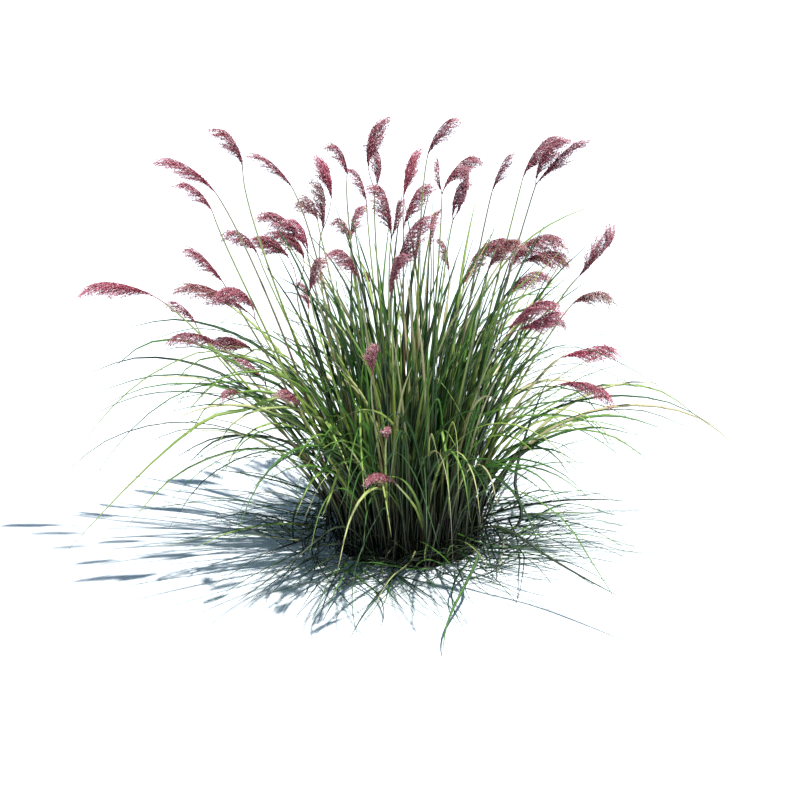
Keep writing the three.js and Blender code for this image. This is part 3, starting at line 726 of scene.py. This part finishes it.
# Each kind of blade leans from the first range of degrees to the last, and its way spreads by the fan.
UPRIGHT = dict(first=(1, 12), last=(14, 60), power=1.6, length=(480, 900), width=(7, 11), fan=0.7, steps=4)
ARCHING = dict(
    first=(8, 26), last=(100, 150), power=1.2, length=(600, 1080), width=(7, 11), fan=0.55, steps=5
)
LOW = dict(first=(52, 72), last=(92, 112), power=0.8, length=(320, 640), width=(4, 6), fan=0.6, steps=4)
MIDDLE_MIX = [UPRIGHT, UPRIGHT, UPRIGHT, ARCHING]
OUTER_MIX = [UPRIGHT, ARCHING, UPRIGHT, ARCHING, LOW]


def rest(line):
    """Lifts a leaf clear of the ground, the crown and its hummocks."""
    past = np.hypot(line[1:, 0], line[1:, 1]) - (CROWN_RADIUS + 8)
    floor = np.maximum(3, HUMMOCK_BASE + 6 - np.maximum(0, past) * 0.55)
    line[1:, 2] = np.maximum(line[1:, 2], floor)
    return line


def rounded(points, steps):
    """Evenly stepped points on the smooth curve through the points given."""
    points = np.asarray(points)
    ends = np.vstack([2 * points[0] - points[1], points, 2 * points[-1] - points[-2]])
    place = np.linspace(0, len(points) - 1, steps + 1)
    low = np.minimum(place.astype(int), len(points) - 2)
    w = (place - low)[:, None]
    before, a, b, after = ends[low], ends[low + 1], ends[low + 2], ends[low + 3]
    out, into = (b - before) / 2, (after - a) / 2
    return a + out * w + (3 * (b - a) - 2 * out - into) * w**2 + (2 * (a - b) + out + into) * w**3


def lay_blade(owner, kind):
    centre = hummocks[owner]
    local = draw(0, 2 * math.pi)
    away = HUMMOCK_RADIUS * 0.68 * math.sqrt(draw(0, 1))
    root = root_on(owner, centre[0] + away * math.cos(local), centre[1] + away * math.sin(local))
    facing = local if owner == 0 else math.atan2(root[1], root[0])
    return owner, *arching(root, facing, kind, draw)


def arching(root, facing, kind, draw):
    """The line, width direction and width of a leaf that leans more and more along its length."""
    turn = facing + draw(-kind["fan"], kind["fan"])
    length = draw(*kind["length"])
    first, last = draw(*kind["first"]), draw(*kind["last"])
    sweep = draw(-0.35, 0.35)
    line = [root]
    for k in range(kind["steps"]):
        share = (k + 0.5) / kind["steps"]
        lean = math.radians(first + (last - first) * share ** kind["power"])
        way = turn + sweep * share
        stride = [math.sin(lean) * math.cos(way), math.sin(lean) * math.sin(way), math.cos(lean)]
        line.append(line[k] + np.array(stride) * length / kind["steps"])
    across = np.array([-math.sin(turn), math.cos(turn), 0.0])
    return rest(np.array(line)), across, draw(*kind["width"])


def lay_lone(width, y, *points):
    for turn in range(TRIES):
        tip_y = y + 2.5 * draw(-turn, turn)
        owner = nearest_hummock(points[0][0] * 0.7, tip_y * 0.3)
        root = root_on(owner, points[0][0] * 0.6, tip_y * 0.25 + draw(-turn, turn))
        deep = root[1] + (tip_y - root[1]) * (np.arange(len(points)) + 1) / len(points)
        through = [standing(x, d, rise) for (x, rise), d in zip(points, deep)]
        line = rest(rounded([root, *through], len(points) + 2))
        across = unit(np.array([-(tip_y - root[1]), points[-1][0] - root[0], 0.0]))
        if is_clear(owner, line, width / 2):
            return owner, line, across, width


def keep(blade):
    claim(blade[0], blade[1], blade[3] / 2)
    blades.append(blade)


blades = []
for row in LONE_BLADES:
    keep(lay_lone(*row))
for k in range(BLADES_PER_TUFT):
    for owner in range(len(hummocks)):
        mix = OUTER_MIX if owner else MIDDLE_MIX
        for turn in range(TRIES):
            blade = lay_blade(owner, mix[k % len(mix)])
            if is_clear(owner, blade[1], blade[3] / 2):
                keep(blade)
                break

# Painted shade: the leaf colour is darkened inside the clump, most low down and near the middle, where the
# blades stand closest and would shade each other.
# The radius and the heights are in metres, as places are in a material.
SHADE_RADIUS = 0.23
SHADE_HEIGHTS = (0.12, 0.56)
leaf, start, surface = new_finish("leaf green")
surface.inputs["Specular IOR Level"].default_value = 0.55
place = start.node("ShaderNodeTexCoord", output=3)
cloud = start.node("ShaderNodeTexNoise", inputs={"Vector": place, "Scale": 9, "Detail": 2})
grain = start.node("ShaderNodeTexNoise", inputs={"Vector": place, "Scale": 120, "Detail": 2})
tint, height, across = value_of(start, "tint"), value_of(start, "along"), value_of(start, "across")
hue = start.node("ShaderNodeValToRGB", {"stops": [
    (0.0, (14, 40, 12)),
    (0.3, (28, 82, 22)),
    (0.55, (80, 138, 38)),
    (0.75, (154, 182, 84)),
    (0.88, (192, 198, 128)),
    (1.0, (206, 194, 150)),
]}, {"Fac": tint + (cloud - 0.5) * 0.2 + (height ** 3) * 0.12})
# Painted shade at a standing blade's foot: multiplied in by the share along the blade, near-black at the base
# and gone by 0.45 of its length. For fallen leaves the value given here is their wilt instead.
low = start.node("ShaderNodeValToRGB", {"stops": [
    (0.0, (30, 22, 16)),
    (0.09, (62, 56, 34)),
    (0.25, (190, 190, 180)),
    (0.45, (255, 255, 255)),
]}, {"Fac": height})
color = mixed(start, 1.0, hue, low, "MULTIPLY")
flat = start.node("ShaderNodeVectorMath", {"operation": "MULTIPLY"}, {0: place, 1: (1.0, 1.0, 0.0)})
from_axis = start.node("ShaderNodeVectorMath", {"operation": "LENGTH"}, {0: flat}, 1)
tall = start.node("ShaderNodeSeparateXYZ", inputs={"Vector": place}, output=2)
past_rim = start.math("MAXIMUM", from_axis - SHADE_RADIUS, 0.0)
share_out_of_painted_shade = start.node("ShaderNodeMapRange", {"interpolation_type": "SMOOTHSTEP"}, {
    "Value": tall + past_rim * 1.2 + value_of(start, "open") * 0.4,
    "From Min": SHADE_HEIGHTS[0], "From Max": SHADE_HEIGHTS[1], "To Min": 0.06, "To Max": 1.0,
})
# Painted shade: a near-black green mixed in by how far a blade lies inside the clump's painted shade.
color = mixed(start, 1 - share_out_of_painted_shade, color, (*srgb(20, 24, 10), 1))
vein = start.math("SINE", across * 24)
rib = start.math("SMOOTH_MIN", start.math("ABSOLUTE", across) * 4, 1.0, 0.2)
color = mixed(start, (1 - rib) * 0.35, color, (*srgb(184, 194, 140), 1))
color = mixed(start, (vein * 0.5 + 0.5) * 0.22 + (grain - 0.4) * 0.3, color, (*srgb(18, 34, 14), 1))
start.tree.links.new(color.socket, surface.inputs["Base Color"])
start.tree.links.new((0.3 + grain * 0.3).socket, surface.inputs["Roughness"])


def keeled(steps):
    """A blade's form: a shallow groove on top, a keel below."""
    corners, faces = rod(4, steps)
    corners[corners[:, 1] > 0.5, 1] = -0.3
    corners[:, 1] += 0.3
    corners[np.abs(corners[:, 0]) > 0.5, 1] += 0.12
    return corners, faces


FINE_STEPS, BROAD_STEPS = 8, 16
fine_form, broad_form = keeled(FINE_STEPS), keeled(BROAD_STEPS)
shades = np.random.default_rng(5)
fillers = np.random.default_rng(8)


def grow_blade(growth, form, line, across, width, tint, bare):
    """Adds a blade along a line. bare says how much it stands out of the clump's painted shade."""
    smooth = rounded(line, BROAD_STEPS if form is broad_form else FINE_STEPS)
    smooth[1:, 2] = np.maximum(smooth[1:, 2], LEAST_HEIGHT)
    z = form[0][:, 2]
    half = (width / 2 * np.minimum(1, 0.55 + 1.8 * z) * (1 - 0.97 * z**2.9))[None]
    depth = (KEEL_DEPTH * (1 - 0.9 * z**3))[None]
    twist = shades.normal(0, 0.5) + shades.normal(0, 0.7) * z
    bent = swept(form, smooth[None], across[None], half, depth, twist[None])
    growth.add(bent, tint=tint, along=z, across=form[0][:, 0], open=bare)


def leaf_tint(dark):
    """A blade's tint: the share given is dark green, and a few are straw."""
    kind = shades.random()
    if kind < dark:
        return shades.uniform(0.0, 0.5)
    if kind < 0.87:
        return shades.uniform(0.5, 0.8)
    return shades.uniform(0.82, 1.0)


# How yellow each of the lone blades is, from dark green at 0 to straw at 1.
LONE_TINTS = [
    0.7, 0.72, 0.25, 0.4, 0.75, 0.45, 0.7, 0.8, 0.2, 0.25,
    0.2, 0.85, 0.3, 0.6, 0.15, 0.5, 0.5, 0.4, 0.0, 0.55,
    0.3, 0.4, 0.66, 0.74, 0.66, 0.78, 0.6, 0.7, 0.0, 0.0,
]
LONE_WIDTH = 1.35
TUFT_WIDTH = 1.15
FILLERS = 430
FILLER_ROOT = 18
FILLER_ROOT_DROP = 14
THICKET = dict(first=(0, 18), last=(4, 42), power=1.6, length=(180, 420), width=(8, 12), fan=2.8, steps=4)
TALL = dict(first=(0, 13), last=(12, 62), power=1.9, length=(640, 980), width=(10, 14), fan=1.1, steps=5)
LEANING = dict(first=(4, 22), last=(50, 120), power=1.6, length=(480, 940), width=(9, 13), fan=1.0, steps=6)
HANGING = dict(first=(2, 13), last=(150, 178), power=2.0, length=(620, 960), width=(8, 12), fan=1.0, steps=6)
FILLER_MIX = [THICKET, TALL, LEANING, TALL, HANGING, THICKET, LEANING, TALL, ARCHING]
tufts = [Growth() for hummock in hummocks]
for number, (owner, line, across, width) in enumerate(blades):
    lone = number < len(LONE_TINTS)
    tint = LONE_TINTS[number] if lone else leaf_tint(0.68)
    bare = 1.0 if lone else shades.uniform(0, 0.6)
    width = width * (LONE_WIDTH if lone else TUFT_WIDTH)
    grow_blade(tufts[owner], broad_form, line, across, width, tint, bare)
for number in range(FILLERS):
    kind = FILLER_MIX[number % len(FILLER_MIX)]
    near = 0.35 if kind is HANGING else 0
    far = 1 if kind is THICKET else 0.7
    edge = math.sqrt(fillers.uniform(near, far))
    turn = fillers.uniform(0, 2 * math.pi)
    root = np.array([math.cos(turn), math.sin(turn), 0.0]) * edge * CROWN_RADIUS
    root[2] = FILLER_ROOT - FILLER_ROOT_DROP * edge**4
    first = tuple(lean * (0.25 + 0.75 * edge) for lean in kind["first"])
    line, across, width = arching(root, turn, {**kind, "first": first}, fillers.uniform)
    bare = 0.6 if kind is HANGING else 0.0
    tint = leaf_tint(0.3 if kind is HANGING else 0.62)
    form = fine_form if kind is THICKET else broad_form
    grow_blade(tufts[nearest_hummock(root[0], root[1])], form, line, across, width, tint, bare)
for owner, tuft in enumerate(tufts):
    tuft.piece(f"leaves_{owner + 1:02d}", leaf, "leaves", f"tuft_{owner + 1:02d}")


# Crown: the matted foot of the clump, a low pad of old brown leaf bases packed side by side, with a dome
# under each tuft. Short dry stubs of old stems are rooted all over it and lean outwards.
PAD_FOOT = 0.8
PAD_TOP = 0.62
DOME_PLACE = 0.8
DOME_RADIUS = 0.62
DOME_SINK = 4
STUBS = 420
STUB_REACH = 0.86
STUB_LENGTH = (45, 110)
STUB_RADIUS = (2.0, 4.2)
pad, start, surface = new_finish("old leaf bases", Roughness=0.95)
place = start.node("ShaderNodeTexCoord", output=3)
fibre = start.node("ShaderNodeTexNoise", inputs={"Vector": place, "Scale": 70, "Detail": 5})
husk = start.node("ShaderNodeValToRGB", {"stops": [
    (0.25, (14, 12, 8)),
    (0.5, (34, 28, 18)),
    (0.75, (66, 54, 34)),
]}, {"Fac": fibre})
color = mixed(start, value_of(start, "along"), husk, (*srgb(50, 58, 28), 1))
start.tree.links.new(color.socket, surface.inputs["Base Color"])

stubs = Growth()
packing = np.random.default_rng(12)
bm = bmesh.new()
bmesh.ops.create_cone(
    bm, cap_ends=True, segments=40,
    radius1=CROWN_RADIUS * PAD_FOOT, radius2=CROWN_RADIUS * PAD_TOP, depth=CROWN_HEIGHT,
)
bmesh.ops.translate(bm, verts=bm.verts, vec=(0, 0, CROWN_HEIGHT / 2))
disc, faces = shape(bm)
stubs.add((disc[None], faces), along=0.0)
for centre in hummocks:
    bm = bmesh.new()
    bmesh.ops.create_uvsphere(bm, u_segments=20, v_segments=12, radius=1)
    whole = bm.verts[:] + bm.edges[:] + bm.faces[:]
    bmesh.ops.bisect_plane(bm, geom=whole, plane_co=(0, 0, 0), plane_no=(0, 0, -1), clear_outer=True)
    bmesh.ops.holes_fill(bm, edges=[e for e in bm.edges if e.is_boundary])
    wide = HUMMOCK_RADIUS * DOME_RADIUS
    bmesh.ops.scale(bm, verts=bm.verts, vec=(wide, wide, HUMMOCK_HEIGHT))
    bmesh.ops.translate(bm, verts=bm.verts, vec=(*centre * DOME_PLACE, CROWN_HEIGHT - DOME_SINK))
    dome, faces = shape(bm)
    stubs.add((dome[None], faces), along=0.0)
stub_form = rod(5, 5)
height = stub_form[0][:, 2]
for number in range(STUBS):
    away = CROWN_RADIUS * STUB_REACH * math.sqrt(packing.uniform(0, 1))
    edge = away / CROWN_RADIUS
    turn = packing.uniform(0, 2 * math.pi)
    out = np.array([math.cos(turn), math.sin(turn), 0.0])
    foot = out * away
    foot[2] = CROWN_HEIGHT * (0.5 - 0.4 * edge**2)
    lean = 0.15 + 0.75 * edge**2
    tall = packing.uniform(*STUB_LENGTH) * (1 - 0.35 * edge)
    way = unit(UP + out * lean + packing.normal(0, 0.12, 3))
    u = np.linspace(0, 1, 6)[:, None]
    line = foot + way * tall * u - UP * 12 * lean * u**2
    line[:, 2] = np.maximum(line[:, 2], 4)
    radius = (packing.uniform(*STUB_RADIUS) * (1 - 0.75 * height))[None]
    bent = swept(stub_form, line[None], np.cross(out, UP)[None], radius, radius * 0.6)
    stubs.add(bent, along=packing.uniform(0, 0.9) * height**2)
stubs.piece("crown_stubs", pad, "crown", "crown")


# Fallen leaves: thin blades that have dropped round the foot and lie across each other on the ground. Most
# are dark and bent, some are long and straight, and a few are dry, thin and crinkled. They have the finish of
# the leaves.
LITTER = 240
LITTER_STEPS = 10
RIM_RADIUS = 280
RIM_WIDTH = 90
RIM_LIFT = 24

# Each kind starts at a distance from the middle, lies askew of the way out by an angle that is off by chance,
# bends and wiggles as it goes, and is raised over what it lies on.
MAT = dict(
    start=(180, 340), askew=1.3, off=0.5, long=(160, 460), bend=0.8, wiggle=0.0,
    width=(4.0, 7.5), raised=(4, 60),
)
SPIKE = dict(
    start=(190, 280), askew=0.4, off=0.4, long=(300, 540), bend=0.35, wiggle=0.0,
    width=(4.0, 7.5), raised=(4, 60),
)
DRY = dict(
    start=(260, 420), askew=1.2, off=0.8, long=(90, 220), bend=1.2, wiggle=0.55,
    width=(1.8, 2.8), raised=(2, 8),
)
LITTER_MIX = [MAT, MAT, MAT, SPIKE, MAT, MAT, SPIKE, MAT, DRY]
LITTER_TINTS = [0.0, 0.08, 0.25, 0.5, 0.9]
TINT_SHARES = [0.26, 0.3, 0.26, 0.12, 0.06]
litter = Growth()
strewn = np.random.default_rng(21)
straw_form = rod(3, LITTER_STEPS)
height = straw_form[0][:, 2]
span = np.linspace(0, 1, LITTER_STEPS + 1)
for number in range(LITTER):
    kind = LITTER_MIX[number % len(LITTER_MIX)]
    turn = strewn.uniform(0, 2 * math.pi)
    way = turn + strewn.choice([-1, 1]) * kind["askew"] + strewn.normal(0, kind["off"])
    bend_by = strewn.normal(0, 1) * kind["bend"]
    stride = strewn.uniform(*kind["long"]) / LITTER_STEPS
    line = [np.array([math.cos(turn), math.sin(turn), 0.0]) * strewn.uniform(*kind["start"])]
    for step in range(LITTER_STEPS):
        side = way + bend_by * step / LITTER_STEPS + kind["wiggle"] * (-1) ** step
        line.append(line[-1] + np.array([math.cos(side), math.sin(side), 0.0]) * stride)
    line = np.array(line)
    line[:, 2] = 3 + strewn.uniform(*kind["raised"]) * np.sin(np.pi * span) ** 2
    line[:, 2] += strewn.uniform(*kind["raised"]) * (1 - span) ** 2
    line[:, 2] += np.clip((RIM_RADIUS - np.hypot(line[:, 0], line[:, 1])) / RIM_WIDTH, 0, 1) * RIM_LIFT
    radius = (strewn.uniform(*kind["width"]) / 2 * (1 - 0.85 * height**1.5))[None]
    bent = swept(straw_form, line[None], UP[None], radius * 0.6, radius)
    tint = strewn.choice(LITTER_TINTS, p=TINT_SHARES)
    wilt = 0.16 + 0.5 * strewn.random() ** 1.5 + 0.2 * height
    litter.add(bent, tint=tint, along=wilt, across=straw_form[0][:, 0], open=strewn.uniform(0.5, 1.3))
litter.piece("fallen_leaves", leaf, "leaves")


# The setting: a pale floor, a high light from the right and a little in front, a cool fill from all round,
# and a long lens that looks 20 degrees down. The sizes are in metres.
FLOOR_SIZE = 90
FLOOR_DROP = 0.0005
TOWARDS_LIGHT = (0.32, -0.14, 1)
bpy.context.scene.view_settings.view_transform = "Standard"
bpy.ops.mesh.primitive_plane_add(size=FLOOR_SIZE, location=(0, 0, -FLOOR_DROP))
floor = bpy.context.object
floor.name = "floor"
paper, start, surface = new_finish("white paper floor", Roughness=0.95)
surface.inputs["Specular IOR Level"].default_value = 0.1
place = start.node("ShaderNodeTexCoord", output=3)
haze = start.node("ShaderNodeTexNoise", inputs={"Vector": place, "Scale": 3, "Detail": 1})
color = mixed(start, haze, (0.87, 0.93, 0.98, 1), (0.89, 0.95, 0.99, 1))
start.tree.links.new(color.socket, surface.inputs["Base Color"])
floor.data.materials.append(paper)

lamp = bpy.data.lights.new("high light", "SUN")
lamp.energy = 5.8
lamp.angle = math.radians(1.4)
lamp.color = (1.0, 0.985, 0.955)
sun = bpy.data.objects.new("high light", lamp)
bpy.context.collection.objects.link(sun)
sun.rotation_euler = Vector(TOWARDS_LIGHT).to_track_quat("Z", "Y").to_euler()

world = bpy.data.worlds.new("soft sky")
world.use_nodes = True
sky = world.node_tree.nodes["Background"]
sky.inputs["Color"].default_value = (0.44, 0.68, 1.0, 1)
sky.inputs["Strength"].default_value = 0.29
bpy.context.scene.world = world

# The picture is 800 pixels across, and the middle of the clump's foot shows at BASE_PIXEL.
PICTURE = 800
BASE_PIXEL = (408, 545)
METRES_PER_PIXEL = 0.0027
DISTANCE = 30.0
SENSOR = 36
lens = bpy.data.cameras.new("camera")
lens.sensor_width = SENSOR
lens.lens = SENSOR * DISTANCE / (PICTURE * METRES_PER_PIXEL)
lens.clip_end = 200
camera = bpy.data.objects.new("camera", lens)
bpy.context.collection.objects.link(camera)
aim_x = (PICTURE / 2 - BASE_PIXEL[0]) * METRES_PER_PIXEL
aim_z = (BASE_PIXEL[1] - PICTURE / 2) * METRES_PER_PIXEL / math.cos(VIEW_UP)
camera.location = (aim_x, -DISTANCE * math.cos(VIEW_UP), aim_z + DISTANCE * math.sin(VIEW_UP))
camera.rotation_euler = (math.radians(90) - VIEW_UP, 0, 0)
bpy.context.scene.camera = camera

bpy.context.view_layer.update()
